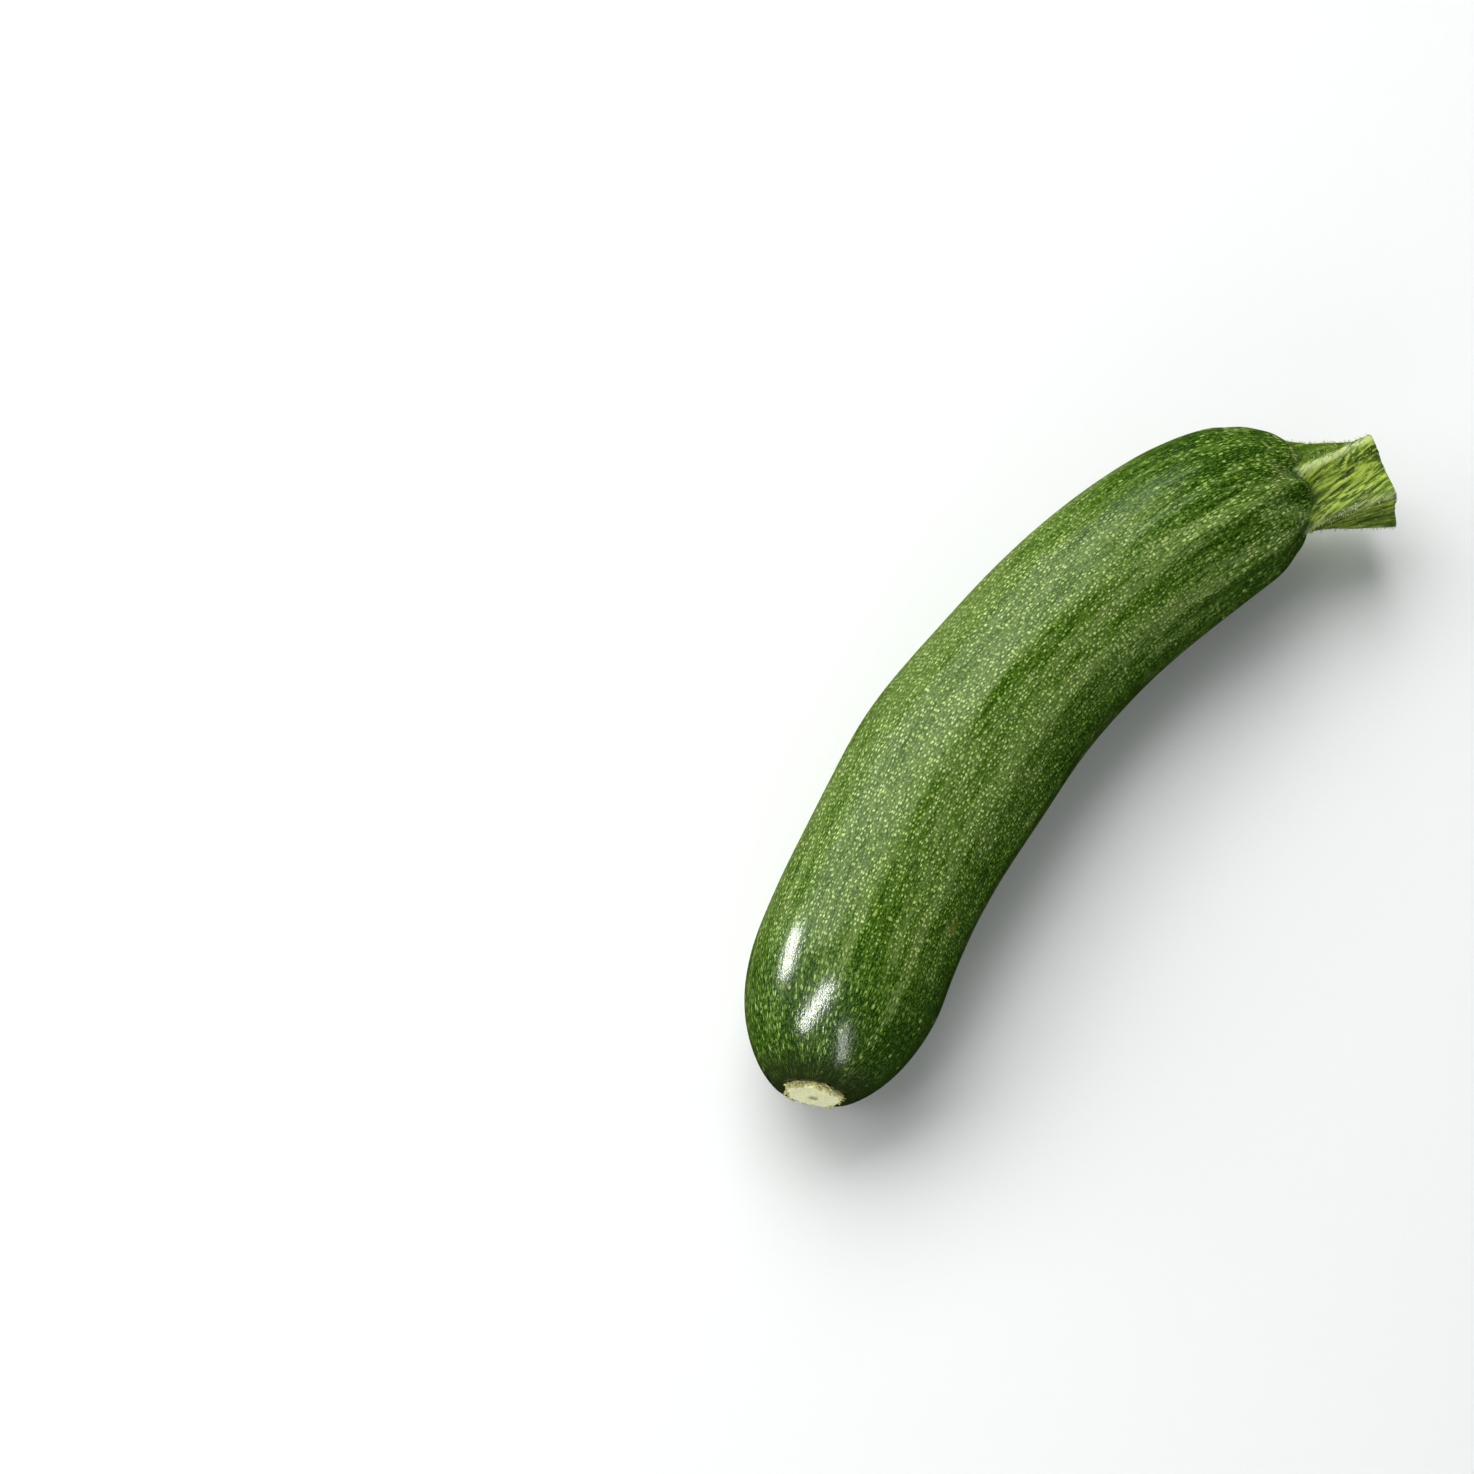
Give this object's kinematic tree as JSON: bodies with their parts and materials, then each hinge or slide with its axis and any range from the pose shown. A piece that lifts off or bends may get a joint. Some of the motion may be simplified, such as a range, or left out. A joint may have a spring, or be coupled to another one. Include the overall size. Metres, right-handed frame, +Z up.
{
  "type": "zucchini",
  "caption": "Long, gently curved green zucchini lying on its side, with a short fluted stem and a pale blossom scar.",
  "frame": {"origin": "middle of the footprint, on the ground that the fruit lies on", "axes": "+Z up, +X along the chord from the blossom end to the stem end, +Y towards the outer side of the bow"},
  "size_m": [0.2115, 0.069, 0.0455],
  "materials": {
    "fruit_skin": "waxy dark green skin with fine pale green flecks in lengthwise rows and paler rib streaks",
    "stem": "fibrous yellow-green stem with pale lengthwise streaks and short whitish bristles",
    "blossom_scar": "dry pale cream scar with a torn yellow-brown rim"
  },
  "bodies": {
    "root": {"fruit": "fruit_skin", "stem": "stem", "blossom_scar": "blossom_scar"}
  },
  "joints": []
}
